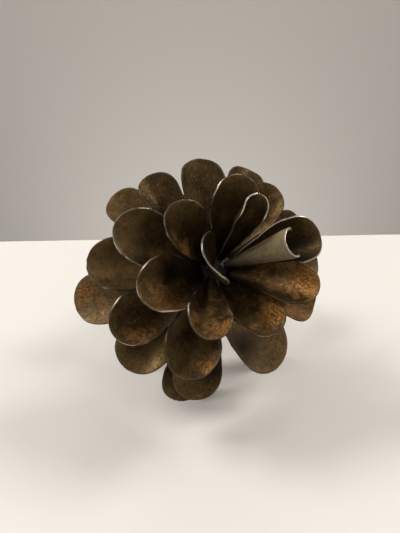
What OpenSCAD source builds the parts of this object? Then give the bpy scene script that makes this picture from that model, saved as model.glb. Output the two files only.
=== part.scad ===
// Flower frog: an open ball of rolled sheet-steel petals welded to a round core.
// Stems stand in the gaps between the petals. The ball rests on the tips of its
// lower petals with its bud leaning forward, towards -Y.
// All sizes are in millimetres. +Z is up and the table is at Z = 0.

/* [Flower] */
// Height of the ball's centre above the table
centre_height = 61; // [55:0.1:70]
// Sideways place of the ball's centre
centre_x = 4.6; // [-10:0.1:10]
// Front-to-back place of the ball's centre
centre_y = 2.3; // [-10:0.1:10]
// How far the bud leans forward from upright, degrees
lean = 48; // [0:1:90]
// How far the bud is turned to the right, degrees
facing = 14; // [-45:1:45]

/* [Sheet] */
// Thickness of the petal steel
sheet = 0.8; // [0.5:0.1:1.5]
// Half the width of a petal's foot, where it's welded on
foot = 2.0; // [1.5:0.1:4]
// Distance from the ball's centre to a petal's foot
foot_radius = 9.5; // [8:0.1:14]

/* [Core] */
// Radius of the round core
core_radius = 10; // [8:0.5:14]
// Radius of the sawn-off stub behind the core
stub_radius = 6; // [4:0.5:8]
// Distance from the ball's centre to the stub's flat end
stub_length = 14; // [11:0.5:20]
// Radius of a weld bead
bead_radius = 1.5; // [1:0.1:2.5]

/* [Smoothness] */
// Rows of facets along a petal's tapered part
side_rows = 5; // [3:1:12]
// Rows of facets around a petal's tip
tip_rows = 6; // [4:1:12]
// Facets across a petal
cross_facets = 8; // [6:2:16]

/* [Hidden] */
steel = [0.46, 0.40, 0.33];
bright = [0.62, 0.60, 0.56];
dark = [0.30, 0.27, 0.24];

// One row for each petal:
//   turn   where it points around the flower's axis, 0 is to the right, 90 is up
//   tilt   angle between the flower's axis and the petal, 0 is straight out of the bud
//   reach  distance from the ball's centre to the tip
//   half   half the width of the flat sheet near the tip
//   cup    half angle of the trough that the sheet is rolled to
//   arch   how far the petal bends back along its length
//   twist  turn of the petal about its own length
//   point  length of the tip's curve over its half width
//   curl   how much further the foot is turned about the petal's length than the tip
//                    turn,  tilt, reach,  half,  cup,arch,twist, point,  curl
bud_wrap_row    = [   181,    15,    50,    12,   50,   6,   18,     1,    34];
bud_scroll_row  = [   3.5,    22,  50.5,  11.5,  115,   5,  185,   0.3,     0];
inner_1_row     = [   6.5,    51,    53,  14.5,   85,  12,   -4,  0.75,     0];
inner_2_row     = [    60,  29.5,    52,   8.5,  100,   2,   12,     1,     0];
inner_3_row     = [    76,    38,    53,    12,   60,  10,    0,     1,     0];
inner_4_row     = [   139,    34,    55,    12,   65,  10,    0,     1,     0];
inner_5_row     = [  -167,    45,    55,    14,   65,  10,    0,     1,     0];
inner_6_row     = [  -122,    37,    55,    11,   60,  10,    0,     1,     0];
inner_7_row     = [ -69.5,    42,    51,    12,   55,  10,    0,     1,     0];
inner_8_row     = [   -31,    38,  56.5,  10.3,   60,  12,    0,     1,     0];
middle_1_row    = [    22,    77,  48.5,   8.5,   55,  10,    0,     1,     0];
middle_2_row    = [    46,    64,  48.5,    11,   60,  10,    0,     1,     0];
middle_3_row    = [    90,    80,    53,    12,   55,  12,    0,     1,     0];
middle_4_row    = [   158,    51,    60,    13,   55,  12,    0,     1,     0];
middle_5_row    = [   172,    70,    60,    13,   55,  12,    0,     1,     0];
middle_6_row    = [-156.5,    63,  60.5,  12.5,   55,  12,    0,     1,     0];
middle_7_row    = [  -122,    57,    59,    13,   50,  12,    0,     1,     0];
outer_1_row     = [    -5,    84,  52.5,    11,   50,  12,    0,     1,     0];
outer_2_row     = [    59,  97.5,  59.5,    11,   50,  12,    0,     1,     0];
outer_3_row     = [   116,    90,    55,  10.5,   50,  12,    0,     1,     0];
outer_4_row     = [   135,    95,    60,    11,   50,  12,    0,     1,     0];
outer_5_row     = [  -174,    90,    65,    13,   50,  12,    0,     1,     0];
outer_6_row     = [  -143,    76,    61,    13,   50,  12,    0,     1,     0];
outer_7_row     = [  -116,    88,    62,    10,   50,  12,    0,     1,     0];
outer_8_row     = [  -111,    80,    60,    12,   50,  12,    0,     1,     0];
outer_9_row     = [   -66,    92,    57,    15,   50,  12,    0,   1.5,     0];
outer_10_row    = [ -26.5,    92,  55.5,  12.5,   50,  12,    0,  0.85,     0];
under_1_row     = [  -102,   113,  65.4,    10,   50,  12,    0,     1,     0];
under_2_row     = [   -57,   120,  68.9,    10,   50,  12,    0,     1,     0];
under_3_row     = [    30,   125,    58,    12,   50,  12,    0,     1,     0];
under_4_row     = [    90,   122,    56,    12,   50,  12,    0,     1,     0];
under_5_row     = [   150,   125,    58,    12,   50,  12,    0,     1,     0];
under_6_row     = [  -127,   138,  66.9,    12,   50,  12,    0,     1,     0];
under_7_row     = [  -168,   120,    58,    12,   50,  12,    0,     1,     0];

all_rows = [
  bud_wrap_row, bud_scroll_row,
  inner_1_row, inner_2_row, inner_3_row, inner_4_row,
  inner_5_row, inner_6_row, inner_7_row, inner_8_row,
  middle_1_row, middle_2_row, middle_3_row, middle_4_row,
  middle_5_row, middle_6_row, middle_7_row,
  outer_1_row, outer_2_row, outer_3_row, outer_4_row, outer_5_row,
  outer_6_row, outer_7_row, outer_8_row, outer_9_row, outer_10_row,
  under_1_row, under_2_row, under_3_row, under_4_row, under_5_row, under_6_row,
  under_7_row
];

last_row = side_rows + tip_rows;
to_rad = PI / 180;

// The flat sheet is a small round foot and a round tip, joined by straight sides.
// length is foot to tip, half is the tip's half width, k stretches the tip.
function flare(length, half, k) = (half - foot) / (length - half * k);
function tip_start(length, half, k) = length - half * k * (1 + flare(length, half, k));

// Angle around the tip's curve for row i, from where the sides end to nearly its top.
function tip_angle(i, f) =
  let (a = -asin(f)) a + (85 - a) * (i - side_rows) / tip_rows;

// Distance along the sheet, and its half width, at row i.
function along(i, length, half, k) =
  let (f = flare(length, half, k))
  i < side_rows
    ? tip_start(length, half, k) * i / side_rows
    : length - half * k * (1 - sin(tip_angle(i, f)));
function width(i, length, half, k) =
  let (f = flare(length, half, k))
  i < side_rows
    ? foot + (half * cos(asin(f)) - foot) * i / side_rows
    : half * cos(tip_angle(i, f));

// A point on the rolled sheet. side is -1 on the outer face and 1 on the hollow one.
function sheet_point(i, j, side, length, half, cup, arch, k, curl) =
  let (
    s = along(i, length, half, k),
    w = width(i, length, half, k),
    grown = min(s / tip_start(length, half, k), 1),
    rho = (foot + (half - foot) * grown) / (cup * to_rad),
    g = (2 * j / cross_facets - 1) * w / rho / to_rad,
    r = rho - side * sheet / 2,
    bend = arch * s / length,
    big = length / (arch * to_rad),
    rise = rho - r * cos(g),
    x = big * sin(bend) + rise * sin(bend),
    z = -big * (1 - cos(bend)) + rise * cos(bend),
    half_arch = arch / 2,
    turned = curl * (s / length - 1),
    y = r * sin(g),
    up = x * sin(half_arch) + z * cos(half_arch)
  )
  [ x * cos(half_arch) - z * sin(half_arch),
    y * cos(turned) - up * sin(turned),
    y * sin(turned) + up * cos(turned) ];

// One rolled petal, lying along +X from the origin with its hollow side up.
module rolled_sheet(length, half, cup, arch, k, curl) {
  n = cross_facets + 1;
  face_size = n * (last_row + 1);
  points = [
    for (side = [-1, 1], i = [0 : last_row], j = [0 : cross_facets])
      sheet_point(i, j, side, length, half, cup, arch, k, curl)
  ];
  outer = [
    for (i = [0 : last_row - 1], j = [0 : cross_facets - 1])
      let (p = i * n + j)
      each [[p, p + n, p + n + 1], [p, p + n + 1, p + 1]]
  ];
  inner = [
    for (t = outer) [t[0] + face_size, t[2] + face_size, t[1] + face_size]
  ];
  rim = concat(
    [for (j = [0 : cross_facets - 1]) [j, j + 1]],
    [for (i = [0 : last_row - 1]) [i * n + cross_facets, (i + 1) * n + cross_facets]],
    [for (j = [cross_facets : -1 : 1]) [last_row * n + j, last_row * n + j - 1]],
    [for (i = [last_row : -1 : 1]) [i * n, (i - 1) * n]]
  );
  walls = [
    for (e = rim)
      each [[e[0], e[1], e[1] + face_size], [e[0], e[1] + face_size, e[0] + face_size]]
  ];
  polyhedron(points = points, faces = concat(outer, inner, walls));
}

// Turns the flower's own frame, with its axis along +Z, to how it rests on the table.
module resting() {
  translate([centre_x, centre_y, centre_height])
    rotate([0, 0, facing])
      rotate([lean, 0, 0])
        children();
}

// Points +X along a petal and +Z towards the flower's axis.
module pointing(row) {
  rotate([0, 0, row[0]])
    rotate([0, row[1] - 90, 0])
      children();
}

module petal(row) {
  color(steel)
    resting()
      pointing(row)
        rotate([row[6], 0, 0])
          translate([foot_radius, 0, 0])
            rolled_sheet(row[2] - foot_radius, row[3], row[4], row[5], row[7], row[8]);
}

// The round core with a sawn-off stub behind it.
module core() {
  color(dark)
    resting()
      union() {
        sphere(r = core_radius, $fn = 48);
        translate([0, 0, -stub_length])
          cylinder(h = stub_length, r = stub_radius, $fn = 48);
      }
}

// One bead of weld at the foot of each petal, on its outer face.
module weld_beads() {
  color(bright)
    resting()
      for (row = all_rows)
        pointing(row)
          rotate([row[6] - row[8], 0, 0])
            translate([foot_radius + 1, 0, -bead_radius])
              sphere(r = bead_radius, $fn = 16);
}

module bud_wrap() { petal(bud_wrap_row); }
module bud_scroll() { petal(bud_scroll_row); }
module inner_1() { petal(inner_1_row); }
module inner_2() { petal(inner_2_row); }
module inner_3() { petal(inner_3_row); }
module inner_4() { petal(inner_4_row); }
module inner_5() { petal(inner_5_row); }
module inner_6() { petal(inner_6_row); }
module inner_7() { petal(inner_7_row); }
module inner_8() { petal(inner_8_row); }
module middle_1() { petal(middle_1_row); }
module middle_2() { petal(middle_2_row); }
module middle_3() { petal(middle_3_row); }
module middle_4() { petal(middle_4_row); }
module middle_5() { petal(middle_5_row); }
module middle_6() { petal(middle_6_row); }
module middle_7() { petal(middle_7_row); }
module outer_1() { petal(outer_1_row); }
module outer_2() { petal(outer_2_row); }
module outer_3() { petal(outer_3_row); }
module outer_4() { petal(outer_4_row); }
module outer_5() { petal(outer_5_row); }
module outer_6() { petal(outer_6_row); }
module outer_7() { petal(outer_7_row); }
module outer_8() { petal(outer_8_row); }
module outer_9() { petal(outer_9_row); }
module outer_10() { petal(outer_10_row); }
module under_1() { petal(under_1_row); }
module under_2() { petal(under_2_row); }
module under_3() { petal(under_3_row); }
module under_4() { petal(under_4_row); }
module under_5() { petal(under_5_row); }
module under_6() { petal(under_6_row); }
module under_7() { petal(under_7_row); }

core();
weld_beads();
bud_wrap();
bud_scroll();
inner_1();
inner_2();
inner_3();
inner_4();
inner_5();
inner_6();
inner_7();
inner_8();
middle_1();
middle_2();
middle_3();
middle_4();
middle_5();
middle_6();
middle_7();
outer_1();
outer_2();
outer_3();
outer_4();
outer_5();
outer_6();
outer_7();
outer_8();
outer_9();
outer_10();
under_1();
under_2();
under_3();
under_4();
under_5();
under_6();
under_7();
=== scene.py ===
"""Looks of the flower frog: rolled raw-steel petals on a welded core. Metres, in the CAD frame."""
import math

import bpy
import numpy as np
from mathutils import Euler, Matrix, Vector, noise

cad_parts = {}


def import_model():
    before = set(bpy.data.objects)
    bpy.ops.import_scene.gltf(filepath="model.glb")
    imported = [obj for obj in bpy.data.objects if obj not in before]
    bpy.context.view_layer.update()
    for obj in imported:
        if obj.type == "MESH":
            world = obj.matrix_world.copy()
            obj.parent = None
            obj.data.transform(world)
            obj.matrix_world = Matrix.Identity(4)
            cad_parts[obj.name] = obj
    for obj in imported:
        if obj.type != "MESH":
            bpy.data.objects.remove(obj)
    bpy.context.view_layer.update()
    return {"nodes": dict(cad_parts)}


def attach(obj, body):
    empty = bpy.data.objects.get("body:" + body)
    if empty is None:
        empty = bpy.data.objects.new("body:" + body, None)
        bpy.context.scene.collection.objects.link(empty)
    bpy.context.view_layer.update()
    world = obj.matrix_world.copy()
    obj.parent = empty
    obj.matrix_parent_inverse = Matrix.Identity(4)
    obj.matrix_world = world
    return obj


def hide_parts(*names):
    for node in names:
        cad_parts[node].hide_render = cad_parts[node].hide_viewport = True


MM = 0.001

# The flower's own frame: its axis is +Z there, and the flower leans out over the table.
CENTRE = Vector((4.6, 2.3, 61.0)) * MM
LEAN, FACING = math.radians(48), math.radians(14)

SHEET = 0.8 * MM
FOOT = 2.0 * MM
FOOT_RADIUS = 9.5 * MM

# Petal: turn, tilt, reach in mm, half width in mm, cup, arch, twist, point, curl, as in the CAD.
PETALS = {
    "bud_wrap": (181, 15, 50, 12, 50, 6, 18, 1, 34),
    "bud_scroll": (3.5, 22, 50.5, 11.5, 115, 5, 185, 0.3, 0),
    "inner_1": (6.5, 51, 53, 14.5, 85, 12, -4, 0.75, 0),
    "inner_2": (60, 29.5, 52, 8.5, 100, 2, 12, 1, 0),
    "inner_3": (76, 38, 53, 12, 60, 10, 0, 1, 0),
    "inner_4": (139, 34, 55, 12, 65, 10, 0, 1, 0),
    "inner_5": (-167, 45, 55, 14, 65, 10, 0, 1, 0),
    "inner_6": (-122, 37, 55, 11, 60, 10, 0, 1, 0),
    "inner_7": (-69.5, 42, 51, 12, 55, 10, 0, 1, 0),
    "inner_8": (-31, 38, 56.5, 10.3, 60, 12, 0, 1, 0),
    "middle_1": (22, 77, 48.5, 8.5, 55, 10, 0, 1, 0),
    "middle_2": (46, 64, 48.5, 11, 60, 10, 0, 1, 0),
    "middle_3": (90, 80, 53, 12, 55, 12, 0, 1, 0),
    "middle_4": (158, 51, 60, 13, 55, 12, 0, 1, 0),
    "middle_5": (172, 70, 60, 13, 55, 12, 0, 1, 0),
    "middle_6": (-156.5, 63, 60.5, 12.5, 55, 12, 0, 1, 0),
    "middle_7": (-122, 57, 59, 13, 50, 12, 0, 1, 0),
    "outer_1": (-5, 84, 52.5, 11, 50, 12, 0, 1, 0),
    "outer_2": (59, 97.5, 59.5, 11, 50, 12, 0, 1, 0),
    "outer_3": (116, 90, 55, 10.5, 50, 12, 0, 1, 0),
    "outer_4": (135, 95, 60, 11, 50, 12, 0, 1, 0),
    "outer_5": (-174, 90, 65, 13, 50, 12, 0, 1, 0),
    "outer_6": (-143, 76, 61, 13, 50, 12, 0, 1, 0),
    "outer_7": (-116, 88, 62, 10, 50, 12, 0, 1, 0),
    "outer_8": (-111, 80, 60, 12, 50, 12, 0, 1, 0),
    "outer_9": (-66, 92, 57, 15, 50, 12, 0, 1.5, 0),
    "outer_10": (-26.5, 92, 55.5, 12.5, 50, 12, 0, 0.85, 0),
    "under_1": (-102, 113, 65.4, 10, 50, 12, 0, 1, 0),
    "under_2": (-57, 120, 68.9, 10, 50, 12, 0, 1, 0),
    "under_3": (30, 125, 58, 12, 50, 12, 0, 1, 0),
    "under_4": (90, 122, 56, 12, 50, 12, 0, 1, 0),
    "under_5": (150, 125, 58, 12, 50, 12, 0, 1, 0),
    "under_6": (-127, 138, 66.9, 12, 50, 12, 0, 1, 0),
    "under_7": (-168, 120, 58, 12, 50, 12, 0, 1, 0),
}

# How rusty and how light a petal is, from 0 to 1, where it differs from RUST and TONE.
RUST, TONE = 0.15, 0.45
OWN_RUST = {"outer_5": 0.50, "outer_4": 0.40, "middle_2": 0.50, "outer_2": 0.25, "inner_6": 0.4,
            "outer_10": 0.7, "inner_7": 0.45, "inner_8": 0.50, "outer_9": 0.5, "inner_5": 0.35,
            "outer_8": 0.4, "middle_1": 0.4}
OWN_TONE = {"bud_scroll": 0.90, "bud_wrap": 0.78, "inner_1": 0.65, "inner_3": 0.6, "inner_4": 0.5,
            "inner_5": 0.65, "inner_7": 0.5, "inner_8": 0.35, "middle_3": 0.25,
            "middle_5": 0.75, "outer_2": 0.1, "outer_3": 0.1, "outer_4": 0.6, "outer_5": 0.83,
            "outer_6": 0.79, "outer_8": 0.75, "outer_9": 0.83, "outer_10": 0.5}

# Heavier rust spots: how far along the sheet, how far across it (-1 to 1), and radius in mm.
SPOTS = {"inner_6": (0.85, 0.7, 6), "inner_5": (0.70, 0.6, 9), "outer_5": (0.9, -0.4, 5),
         "inner_8": (0.9, 0.3, 7), "middle_2": (0.7, 0.6, 6), "middle_4": (0.5, 0.7, 8),
         "inner_7": (0.8, 0.5, 7), "middle_7": (0.85, 0.7, 5),
         "middle_6": (0.85, 0.5, 7), "inner_4": (0.6, 0.5, 7)}

# Painted shade: dark patches on the hollow side, where a cup lies in deep shade, given the same way
# as the spots.
PAINTED_SHADE_PATCHES = {"bud_wrap": (0.75, -0.4, 16), "inner_1": (0.72, -0.25, 10), "outer_9": (0.58, -0.55, 10),
         "inner_5": (0.55, -0.3, 7), "outer_8": (0.70, 0.7, 9)}

# How brightly a rim is ground, from 0 to 1, where it differs from SHINE.
SHINE = 0.22
OWN_SHINE = {"bud_wrap": 1.0, "bud_scroll": 1.0, "inner_1": 0.9, "inner_2": 0.9, "inner_3": 0.6,
             "middle_4": 0.6, "inner_4": 0.45, "inner_5": 0.55, "middle_6": 0.55}


# ---------------------------------------------------------------- camera, table and light

def make_camera():
    """The camera looks along +Y and down at the ball, from a little under 20 cm away."""
    down = math.radians(35)
    distance, lens, sensor = 192 * MM, 27.0, 36.0
    data = bpy.data.cameras.new("camera")
    data.sensor_fit, data.sensor_height, data.lens = "VERTICAL", sensor, lens
    data.clip_start, data.clip_end = 0.01, 10
    cam = bpy.data.objects.new("camera", data)
    bpy.context.collection.objects.link(cam)
    look = Vector((0, math.cos(down), -math.sin(down)))
    right = Vector((1, 0, 0))
    up = right.cross(look)
    aim = CENTRE - right * 5.8 * MM + up * 1.7 * MM
    cam.location = aim - look * distance
    cam.rotation_euler = Euler((math.pi / 2 - down, 0, 0))
    bpy.context.scene.camera = cam


def plain(name, colour, roughness=0.6):
    mat = bpy.data.materials.new(name)
    mat.use_nodes = True
    bsdf = mat.node_tree.nodes["Principled BSDF"]
    bsdf.inputs["Base Color"].default_value = (*colour, 1)
    bsdf.inputs["Roughness"].default_value = roughness
    return mat


def quad(name, corners, mat):
    mesh = bpy.data.meshes.new(name)
    mesh.from_pydata(corners, [], [(0, 1, 2, 3)])
    mesh.materials.append(mat)
    obj = bpy.data.objects.new(name, mesh)
    bpy.context.collection.objects.link(obj)
    return obj


def area(name, place, size, power, colour=(1, 1, 1), target=CENTRE):
    data = bpy.data.lights.new(name, "AREA")
    data.shape, data.size, data.energy, data.color = "DISK", size, power, colour
    lamp = bpy.data.objects.new(name, data)
    bpy.context.collection.objects.link(lamp)
    lamp.location = place
    lamp.rotation_euler = (Vector(target) - Vector(place)).to_track_quat("-Z", "Y").to_euler()


# Soft lamps: place, size in metres, power in watts, and colour. They all aim at the ball.
LAMPS = (
    ("lamp left", (-0.75, 0.16, 0.95), 0.40, 8.4, (1.0, 0.98, 0.95)),
    ("lamp right", (0.72, 0.22, 0.95), 0.40, 6.8, (1.0, 0.97, 0.93)),
    ("ceiling", (0.0, 0.60, 1.1), 0.9, 1.6, (1.0, 0.98, 0.95)),
    ("room", (0.0, -0.75, 1.15), 1.0, 1.8, (1.0, 0.98, 0.95)),
)
WALL = 0.9


def make_stage():
    """A white table whose far edge is just behind the ball, a grey wall, and soft light."""
    edge = 0.134
    slant = 0.035
    left, right, front = -1.2, 1.2, -1.2
    quad("table", [(left, front, 0), (right, front, 0), (right, edge + slant * right, 0),
                   (left, edge + slant * left, 0)], plain("table white", (0.80, 0.765, 0.72)))
    quad("wall", [(-2, WALL, -1), (2, WALL, -1), (2, WALL, 2), (-2, WALL, 2)],
         plain("wall grey", (0.31, 0.289, 0.263), 0.9))
    for name, place, size, power, colour in LAMPS:
        area(name, place, size, power, colour)
    area("wall wash", (0.0, 0.20, -0.55), 0.7, 7.0, target=(0, WALL, -0.35))


def make_room_light():
    """The room is bright near the horizon and dark overhead, so the petals have both to reflect."""
    world = bpy.data.worlds.new("room")
    bpy.context.scene.world = world
    world.use_nodes = True
    tree = world.node_tree
    towards = tree.nodes.new("ShaderNodeVectorMath")
    towards.operation = "DOT_PRODUCT"
    towards.inputs[1].default_value = (0.0, -0.20, 0.98)
    ramp = tree.nodes.new("ShaderNodeMapRange")
    ramp.interpolation_type = "SMOOTHSTEP"
    for key, value in {"From Min": 0.35, "From Max": 0.85, "To Min": 0.62, "To Max": 0.12}.items():
        ramp.inputs[key].default_value = value
    tree.links.new(tree.nodes.new("ShaderNodeTexCoord").outputs["Generated"], towards.inputs[0])
    tree.links.new(towards.outputs["Value"], ramp.inputs["Value"])
    tree.links.new(ramp.outputs["Result"], tree.nodes["Background"].inputs["Strength"])
    tree.nodes["Background"].inputs["Color"].default_value = (0.95, 0.93, 0.90, 1)


# ---------------------------------------------------------------- steel materials

class Graph:
    """Short calls for building a node tree."""

    def __init__(self, name):
        self.mat = bpy.data.materials.new(name)
        self.mat.use_nodes = True
        self.tree = self.mat.node_tree
        self.bsdf = self.tree.nodes["Principled BSDF"]

    def node(self, kind, inputs=(), **settings):
        made = self.tree.nodes.new(kind)
        for key, value in settings.items():
            setattr(made, key, value)
        for key, value in dict(inputs).items():
            if isinstance(value, bpy.types.NodeSocket):
                self.tree.links.new(value, made.inputs[key])
            else:
                made.inputs[key].default_value = value
        return made

    def attribute(self, name, output="Fac"):
        return self.node("ShaderNodeAttribute", attribute_name=name).outputs[output]

    def scaled(self, vector, scale):
        return self.node("ShaderNodeMapping", {"Vector": vector, "Scale": scale}).outputs["Vector"]

    def noise(self, vector, scale, detail=3.0, roughness=0.55, distortion=0.0):
        made = self.node("ShaderNodeTexNoise", {
            "Vector": vector, "Scale": scale, "Detail": detail,
            "Roughness": roughness, "Distortion": distortion})
        return made.outputs["Fac"]

    def ramp(self, value, low, high, out_low=0.0, out_high=1.0):
        made = self.node("ShaderNodeMapRange", {
            "Value": value, "From Min": low, "From Max": high,
            "To Min": out_low, "To Max": out_high}, interpolation_type="SMOOTHSTEP")
        return made.outputs["Result"]

    def math(self, operation, a, b=0.0):
        return self.node("ShaderNodeMath", {0: a, 1: b}, operation=operation).outputs[0]

    def mix(self, factor, a, b, blend="MIX"):
        made = self.node("ShaderNodeMix", data_type="RGBA", blend_type=blend)
        for key, value in ((0, factor), (6, a), (7, b)):
            if isinstance(value, bpy.types.NodeSocket):
                self.tree.links.new(value, made.inputs[key])
            else:
                made.inputs[key].default_value = value
        return made.outputs[2]

    def drive(self, **sockets):
        for key, value in sockets.items():
            self.tree.links.new(value, self.bsdf.inputs[key.replace("_", " ")])


def petal_steel():
    """Oiled brown mill scale with rust mottling, rubbed bright towards the ground rim.

    The sheet's flat coordinates, in millimetres, run along and across each petal."""
    g = Graph("petal steel")
    flat = g.attribute("flat", "Vector")
    tone, rust, edge, soot_and_shade = (g.attribute(n) for n in ("tone", "rust", "edge", "soot_and_shade"))

    cloud = g.noise(flat, 0.09, 2.0)
    mottle = g.noise(flat, 0.55, 5.0, 0.65, 0.6)
    speck = g.noise(flat, 1.3, 4.0, 0.7)
    streak = g.noise(g.scaled(flat, (0.10, 1.3, 1.0)), 1.0, 3.0)
    fine = g.noise(g.scaled(flat, (0.55, 1.2, 1.0)), 1.0, 5.0, 0.7)

    light = g.math("ADD", g.math("MULTIPLY", tone, 0.7), g.math("SUBTRACT", cloud, 0.5))
    colour = g.mix(g.ramp(light, 0.05, 0.75), (0.040, 0.024, 0.0085, 1), (0.150, 0.095, 0.036, 1))
    colour = g.mix(g.ramp(streak, 0.45, 0.75, 0.0, 0.16), colour, (0.17, 0.105, 0.042, 1))
    colour = g.mix(g.ramp(fine, 0.48, 0.66, 0.0, 0.45), colour, (0.19, 0.112, 0.044, 1))
    depth = g.math("ADD", g.math("MULTIPLY", rust, 0.6), 0.25)
    blotch = g.math("MULTIPLY", g.ramp(mottle, 0.50, 0.66), depth)
    colour = g.mix(blotch, colour, (0.030, 0.016, 0.007, 1))

    spread = g.math("ADD", g.noise(flat, 0.22, 4.0, 0.65, 0.8), g.math("MULTIPLY", rust, 0.34))
    rusty = g.math("MULTIPLY", g.ramp(spread, 0.60, 0.82), g.ramp(speck, 0.38, 0.60))
    colour = g.mix(g.math("MULTIPLY", rusty, 0.78), colour, (0.225, 0.085, 0.018, 1))
    gold = g.math("MULTIPLY", g.ramp(spread, 0.66, 0.86), g.ramp(fine, 0.44, 0.58))
    colour = g.mix(g.math("MULTIPLY", gold, 0.50), colour, (0.35, 0.19, 0.056, 1))
    amber = g.math("MULTIPLY", g.ramp(rust, 0.65, 1.20, 0.0, 0.55), g.ramp(fine, 0.42, 0.58))
    colour = g.mix(amber, colour, (0.44, 0.19, 0.030, 1))
    pits = g.math("MULTIPLY", g.ramp(speck, 0.55, 0.62), g.math("ADD", depth, 0.25))
    colour = g.mix(pits, colour, (0.016, 0.009, 0.005, 1))
    worn = g.math("MULTIPLY", edge, g.ramp(speck, 0.30, 0.60))
    colour = g.mix(g.math("MULTIPLY", worn, 0.5), colour, (0.20, 0.16, 0.11, 1))
    pale = g.mix(g.ramp(mottle, 0.35, 0.65), (0.50, 0.42, 0.26, 1), (0.32, 0.25, 0.14, 1))
    colour = g.mix(g.ramp(tone, 0.80, 0.95, 0.0, 0.85), colour, pale)
    # Darker towards the foot, partly weld soot and partly painted shade of the crowded middle, and
    # painted shade in the listed hollow patches.
    colour = g.mix(soot_and_shade, colour, (0.010, 0.006, 0.004, 1))

    rough = g.ramp(mottle, 0.35, 0.65, 0.42, 0.60)
    rough = g.math("ADD", rough, g.math("MULTIPLY", rusty, 0.25))
    metal = g.math("SUBTRACT", 0.85, g.math("MULTIPLY", rusty, 0.5))
    metal = g.math("MULTIPLY", metal, g.ramp(tone, 0.80, 0.95, 1.0, 0.35))
    height = g.math("ADD", g.math("MULTIPLY", speck, 0.5), g.math("MULTIPLY", streak, 0.5))
    height = g.math("ADD", height, mottle)
    bump = g.node("ShaderNodeBump", {"Height": height, "Strength": 0.35, "Distance": 0.15 * MM})
    g.drive(Base_Color=colour, Roughness=rough, Metallic=metal, Normal=bump.outputs["Normal"])
    g.bsdf.inputs["Specular IOR Level"].default_value = 0.3
    return g.mat


def ground_rim():
    """The petals' edges, ground to bare steel in places, brown where the scale is left."""
    g = Graph("ground rim")
    flat, shine, soot_and_shade = g.attribute("flat", "Vector"), g.attribute("shine"), g.attribute("soot_and_shade")
    patch = g.noise(flat, 0.12, 3.0)
    scratch = g.noise(flat, 4.0, 2.0)
    bare = g.ramp(g.math("ADD", patch, g.math("MULTIPLY", shine, 0.45)), 0.66, 0.95)
    colour = g.mix(bare, (0.060, 0.040, 0.020, 1), (0.60, 0.55, 0.46, 1))
    colour = g.mix(g.ramp(scratch, 0.5, 0.7, 0.0, 0.4), colour, (0.06, 0.045, 0.03, 1))
    # Painted shade: the rim also darkens towards the foot, partly as weld soot, and in the hollow
    # patches.
    colour = g.mix(soot_and_shade, colour, (0.02, 0.015, 0.01, 1))
    bump = g.node("ShaderNodeBump", {"Height": scratch, "Strength": 0.2, "Distance": 0.05 * MM})
    g.drive(Base_Color=colour, Roughness=g.ramp(scratch, 0.3, 0.7, 0.28, 0.45),
            Normal=bump.outputs["Normal"])
    g.bsdf.inputs["Metallic"].default_value = 0.9
    return g.mat


def scaled_steel(name, dark, light, scale, metallic):
    """Dull steel for the core and the welds, mottled by place on the object."""
    g = Graph(name)
    place = g.node("ShaderNodeTexCoord").outputs["Object"]
    patch = g.noise(place, scale, 5.0, 0.65)
    grain = g.noise(place, scale * 6, 3.0)
    colour = g.mix(g.ramp(patch, 0.38, 0.62), (*dark, 1), (*light, 1))
    bump = g.node("ShaderNodeBump", {"Height": grain, "Strength": 0.5, "Distance": 0.2 * MM})
    g.drive(Base_Color=colour, Roughness=g.ramp(grain, 0.3, 0.7, 0.45, 0.7),
            Normal=bump.outputs["Normal"])
    g.bsdf.inputs["Metallic"].default_value = metallic
    return g.mat


# ---------------------------------------------------------------- petals

# Rows along the sides and round the tip, columns across, and steps round the rim.
SIDE_ROWS, TIP_ROWS, ACROSS = 26, 18, 22
RIM_STEPS = 4
RIM = 0.50 * MM

# The rows stop just short of the tip's very end. Columns lie closer together towards the edges.
TIP_END = math.radians(88.5)
CROWDING = 0.9

# Dents: how many come in a millimetre, and how deep they go in mm. They fade in from the foot over
# FADE_ROWS rows, and bud_scroll has shallower ones, so that the petals stay clear of each other.
DENTS = ((0.11, 0.38), (0.30, 0.14))
UNEVEN_RIM = (0.22, 0.35)
UNEVEN_REACH = 2.0 * MM
NOISE_STEP, NOISE_START = (7.3, 3.1, 5.7), (11, 0, 0)
FADE_ROWS = 16
OWN_DENTS = {"bud_scroll": 0.15}

# How far the rubbed edge reaches in from the rim, in metres, and the foot's soot and painted shade,
# in mm.
RUB_WIDTH = 0.45 * MM
SOOT_AND_SHADE_REACH = 13


def sheet_outline(length, half, point):
    """Distance along the sheet and half width, row by row: straight sides, then a round tip."""
    flare = (half - FOOT) / (length - half * point)
    lean = math.asin(flare)
    start = length - half * point * (1 + flare)
    sides = np.linspace(0, 1, SIDE_ROWS, endpoint=False)
    angle = np.linspace(-lean, TIP_END, TIP_ROWS)
    along = np.concatenate([start * sides, length - half * point * (1 - np.sin(angle))])
    width = np.concatenate([FOOT + (half * math.cos(lean) - FOOT) * sides, half * np.cos(angle)])
    return along, width, start


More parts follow.
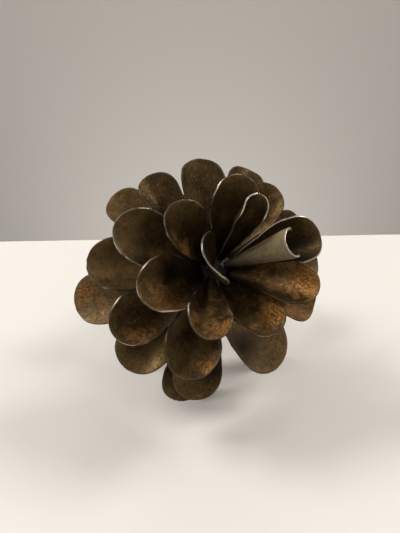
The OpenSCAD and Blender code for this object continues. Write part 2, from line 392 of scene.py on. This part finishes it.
def roll_sheet(length, half, cup, arch, point, curl):
    """The rolled sheet's middle surface as a grid of points, and each point's flat place."""
    along, width, start = sheet_outline(length, half, point)
    cup, arch = math.radians(cup), math.radians(arch)
    radius = (FOOT + (half - FOOT) * np.minimum(along / start, 1)) / cup
    side = np.sin(np.linspace(-1, 1, ACROSS + 1) * math.pi / 2 * CROWDING)
    side /= math.sin(math.pi / 2 * CROWDING)
    across = width[:, None] * side[None, :]
    around = across / radius[:, None]
    rise = radius[:, None] * (1 - np.cos(around))
    bend = arch * (along / length - 0.5)
    big = length / arch
    x = big * (np.sin(bend) + math.sin(arch / 2))[:, None] + rise * np.sin(bend)[:, None]
    z = big * (np.cos(bend) - math.cos(arch / 2))[:, None] + rise * np.cos(bend)[:, None]
    y = radius[:, None] * np.sin(around)
    turned = (math.radians(curl) * (along / length - 1))[:, None]
    grid = np.stack([x, y * np.cos(turned) - z * np.sin(turned),
                     y * np.sin(turned) + z * np.cos(turned)], axis=-1)
    flat = np.stack([np.repeat(along[:, None], ACROSS + 1, 1), across], axis=-1)
    to_edge = np.minimum(width[:, None] - np.abs(across), length - flat[..., 0])
    return grid, flat, to_edge


def surface_normals(grid):
    down = np.gradient(grid, axis=0)
    over = np.gradient(grid, axis=1)
    normal = np.cross(down, over)
    return normal / np.linalg.norm(normal, axis=-1, keepdims=True)


def hand_worked(grid, normal, to_edge, seed, amount):
    """Shallow dents and a slightly uneven rim, as hand rolling leaves them."""
    out = grid.copy()
    offset = Vector([seed * step + start for step, start in zip(NOISE_STEP, NOISE_START)])
    for i in range(grid.shape[0]):
        fade = amount * min((i / FADE_ROWS) ** 2, 1)
        for j in range(grid.shape[1]):
            p = Vector(grid[i, j]) / MM
            dent = sum(noise.noise(p * rate + offset) * depth for rate, depth in DENTS)
            rate, depth = UNEVEN_RIM
            rim = math.exp(-to_edge[i, j] / UNEVEN_REACH) * noise.noise(p * rate - offset) * depth
            out[i, j] += normal[i, j] * (dent + rim) * fade * MM
    return out


def petal_mesh(name, seed, length, half, cup, arch, point, curl):
    """A closed sheet with its rim rounded over. The rim's faces take the second material."""
    grid, flat, to_edge = roll_sheet(length, half, cup, arch, point, curl)
    grid = hand_worked(grid, surface_normals(grid), to_edge, seed, OWN_DENTS.get(name, 1.0))
    normal = surface_normals(grid)
    rows, cols = grid.shape[:2]
    loop = ([(0, j) for j in range(cols)] + [(i, cols - 1) for i in range(1, rows)]
            + [(rows - 1, j) for j in range(cols - 2, -1, -1)]
            + [(i, 0) for i in range(rows - 2, 0, -1)])
    edge = np.array([grid[p] for p in loop])
    edge_normal = np.array([normal[p] for p in loop])
    tangent = np.roll(edge, -1, 0) - np.roll(edge, 1, 0)
    outward = np.cross(tangent, edge_normal)
    outward /= np.linalg.norm(outward, axis=1, keepdims=True)

    half_sheet = SHEET / 2 * (1 - 0.3 * np.exp(-np.maximum(to_edge, 0) / (0.6 * MM)))[..., None]
    points = [grid - normal * half_sheet, grid + normal * half_sheet]
    points = [p.reshape(-1, 3) for p in points]
    size = rows * cols
    for step in range(1, RIM_STEPS):
        a = -math.pi / 2 + math.pi * step / RIM_STEPS
        points.append(edge + RIM / 2 * (math.sin(a) * edge_normal + 0.35 * math.cos(a) * outward))
    points = np.concatenate(points)

    faces, which = [], []
    for i in range(rows - 1):
        for j in range(cols - 1):
            a = i * cols + j
            faces.append((a, a + 1, a + cols + 1, a + cols))
            faces.append((size + a, size + a + cols, size + a + cols + 1, size + a + 1))
            which += [0, 0]
    index = [i * cols + j for i, j in loop]
    rings = [index] + [list(range(2 * size + k * len(loop), 2 * size + (k + 1) * len(loop)))
                       for k in range(RIM_STEPS - 1)] + [[size + k for k in index]]
    for low, high in zip(rings, rings[1:]):
        for k in range(len(loop)):
            n = (k + 1) % len(loop)
            faces.append((low[n], low[k], high[k], high[n]))
            which.append(1)

    mesh = bpy.data.meshes.new(name)
    mesh.from_pydata(points.tolist(), [], faces)
    mesh.polygons.foreach_set("material_index", which)
    mesh.polygons.foreach_set("use_smooth", [True] * len(faces))

    flat_mm = np.concatenate([flat / MM, np.full(flat.shape[:2] + (1,), seed * 37.0)], axis=-1)
    loop_flat = np.array([flat_mm[p] for p in loop])
    flat_all = np.concatenate([flat_mm.reshape(-1, 3)] * 2 + [loop_flat] * (RIM_STEPS - 1))
    near = np.exp(-np.maximum(to_edge, 0) / RUB_WIDTH).reshape(-1)
    near_all = np.concatenate([near, near, np.ones(len(loop) * (RIM_STEPS - 1))])
    hollow = np.arange(len(points)) >= size
    paint_petal(mesh, name, flat_all, near_all, hollow, length / MM, half / MM)
    mesh.update()
    return mesh


def paint_petal(mesh, name, flat, near_rim, hollow, length, half):
    """Stores what the steel reads at each point. Lengths are in millimetres here."""
    def patch(table):
        if name not in table:
            return 0
        place, spread, radius = table[name]
        away = np.hypot(flat[:, 0] - place * length, flat[:, 1] - spread * half)
        return np.exp(-(away / radius) ** 2)

    mesh.attributes.new("flat", "FLOAT_VECTOR", "POINT").data.foreach_set("vector", flat.ravel())
    # Darker towards the foot, partly weld soot and partly painted shade of the crowded middle; the
    # hollow-side patches are painted shade.
    soot_and_shade = 0.95 * np.maximum(np.exp(-(flat[:, 0] / SOOT_AND_SHADE_REACH) ** 2), patch(PAINTED_SHADE_PATCHES) * hollow)
    values = {"edge": near_rim, "soot_and_shade": soot_and_shade, "rust": OWN_RUST.get(name, RUST) + 0.8 * patch(SPOTS),
              "tone": OWN_TONE.get(name, TONE), "shine": OWN_SHINE.get(name, SHINE)}
    for key, value in values.items():
        layer = mesh.attributes.new(key, "FLOAT", "POINT")
        layer.data.foreach_set("value", np.broadcast_to(value, len(flat)).astype(np.float32))


def flower_frame():
    return (Matrix.Translation(CENTRE) @ Matrix.Rotation(FACING, 4, "Z")
            @ Matrix.Rotation(LEAN, 4, "X"))


def petal_frame(turn, tilt, twist):
    """Puts +X along the petal from the ball's centre and +Z towards the flower's axis."""
    return (flower_frame() @ Matrix.Rotation(math.radians(turn), 4, "Z")
            @ Matrix.Rotation(math.radians(tilt - 90), 4, "Y")
            @ Matrix.Rotation(math.radians(twist), 4, "X"))


def make_petals(steel, rim):
    for seed, (node, row) in enumerate(PETALS.items(), 1):
        turn, tilt, reach, half, cup, arch, twist, point, curl = row
        mesh = petal_mesh(node, seed, reach * MM - FOOT_RADIUS, half * MM, cup, arch, point, curl)
        mesh.transform(petal_frame(turn, tilt, twist) @ Matrix.Translation((FOOT_RADIUS, 0, 0)))
        mesh.materials.append(steel)
        mesh.materials.append(rim)
        piece = bpy.data.objects.new("petal_" + node, mesh)
        bpy.context.collection.objects.link(piece)
        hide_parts(node)
        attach(piece, "root")


# ---------------------------------------------------------------- core and welds

# A weld lump's half sizes in mm, how uneven it is, and its place in the petal's frame.
WELD_SIZE = (1.2, 1.7, 1.1)
WELD_LUMPS = 0.18
WELD_PLACE = (10.5 * MM, 0, -1.5 * MM)


def weld_lump(place, seed, first):
    """One closed lump. Its points are numbered from first: a pole, the rings, the other pole."""
    rings, sides = 8, 12
    ways = [(0.0, 0.0)]
    ways += [(math.pi * i / rings, 2 * math.pi * j / sides)
             for i in range(1, rings) for j in range(sides)]
    ways.append((math.pi, 0.0))
    verts = []
    for a, b in ways:
        way = Vector((math.cos(a), math.sin(a) * math.cos(b), math.sin(a) * math.sin(b)))
        lump = 1 + WELD_LUMPS * noise.noise(way * 1.7 + Vector((seed * 4.1, 0, 0)))
        verts.append(place @ (Vector(w * k for w, k in zip(way, WELD_SIZE)) * lump * MM))
    last = first + len(verts) - 1
    faces = []
    for j in range(sides):
        k = (j + 1) % sides
        faces.append((first, first + 1 + j, first + 1 + k))
        faces.append((last, last - sides + k, last - sides + j))
        for i in range(rings - 2):
            a, b = first + 1 + i * sides + j, first + 1 + i * sides + k
            faces.append((a, a + sides, b + sides, b))
    return verts, faces


def make_welds(mat):
    """A lumpy bead at the foot of each petal, on its outer face."""
    verts, faces = [], []
    for seed, (turn, tilt, _, _, _, _, twist, _, curl) in enumerate(PETALS.values(), 1):
        place = petal_frame(turn, tilt, twist - curl) @ Matrix.Translation(WELD_PLACE)
        more_verts, more_faces = weld_lump(place, seed, len(verts))
        verts += more_verts
        faces += more_faces
    mesh = bpy.data.meshes.new("welds")
    mesh.from_pydata(verts, [], faces)
    mesh.polygons.foreach_set("use_smooth", [True] * len(faces))
    mesh.materials.append(mat)
    piece = bpy.data.objects.new("weld_lumps", mesh)
    bpy.context.collection.objects.link(piece)
    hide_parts("weld_beads")
    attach(piece, "root")


def main():
    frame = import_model()
    make_camera()
    make_stage()
    make_room_light()
    bpy.context.scene.view_settings.view_transform = "Standard"
    make_petals(petal_steel(), ground_rim())
    # The welds' colours are very dark: partly dull steel, partly painted shade deep in the flower's
    # middle.
    make_welds(scaled_steel("weld steel and painted shade", (0.02, 0.015, 0.011), (0.08, 0.06, 0.045), 420, 0.6))
    # The core's colours are very dark: partly dull steel, partly painted shade deep in the flower's
    # middle.
    core = frame["nodes"]["core"].data
    core.materials.clear()
    core.materials.append(
        scaled_steel("core steel and painted shade", (0.014, 0.010, 0.008), (0.05, 0.035, 0.022), 160, 0.5))


main()
